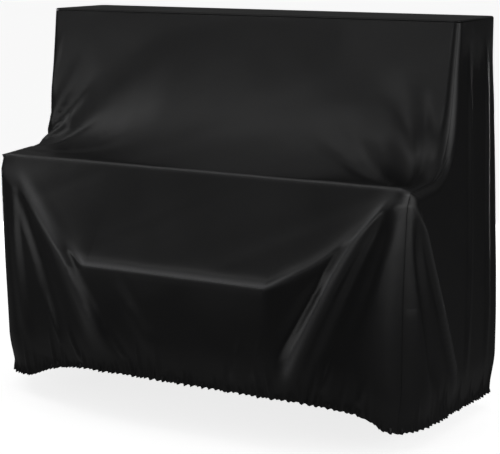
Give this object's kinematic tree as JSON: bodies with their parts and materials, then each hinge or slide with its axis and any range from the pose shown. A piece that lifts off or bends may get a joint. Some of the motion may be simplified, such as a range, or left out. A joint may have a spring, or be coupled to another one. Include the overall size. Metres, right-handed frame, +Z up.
{
  "type": "fitted upright piano and bench cover",
  "caption": "Hollow fitted cloth cover for an upright piano and its bench, sewn from panels, open underneath, with an elastic gathered hem.",
  "frame": {"origin": "middle of the underside of the top panel, where the cover rests on the piano's lid", "axes": "+X to the right seen from the front, -Y towards the front, +Z up"},
  "size_m": [1.5851, 0.8325, 1.2081],
  "materials": {
    "top_cloth": "black coated woven polyester, satin sheen",
    "skirt_cloth": "black coated woven polyester, satin sheen"
  },
  "bodies": {
    "root": {"top_panel": "top_cloth", "front_panel": "skirt_cloth", "left_side_panel": "skirt_cloth", "right_side_panel": "skirt_cloth", "back_panel": "skirt_cloth"}
  },
  "joints": []
}
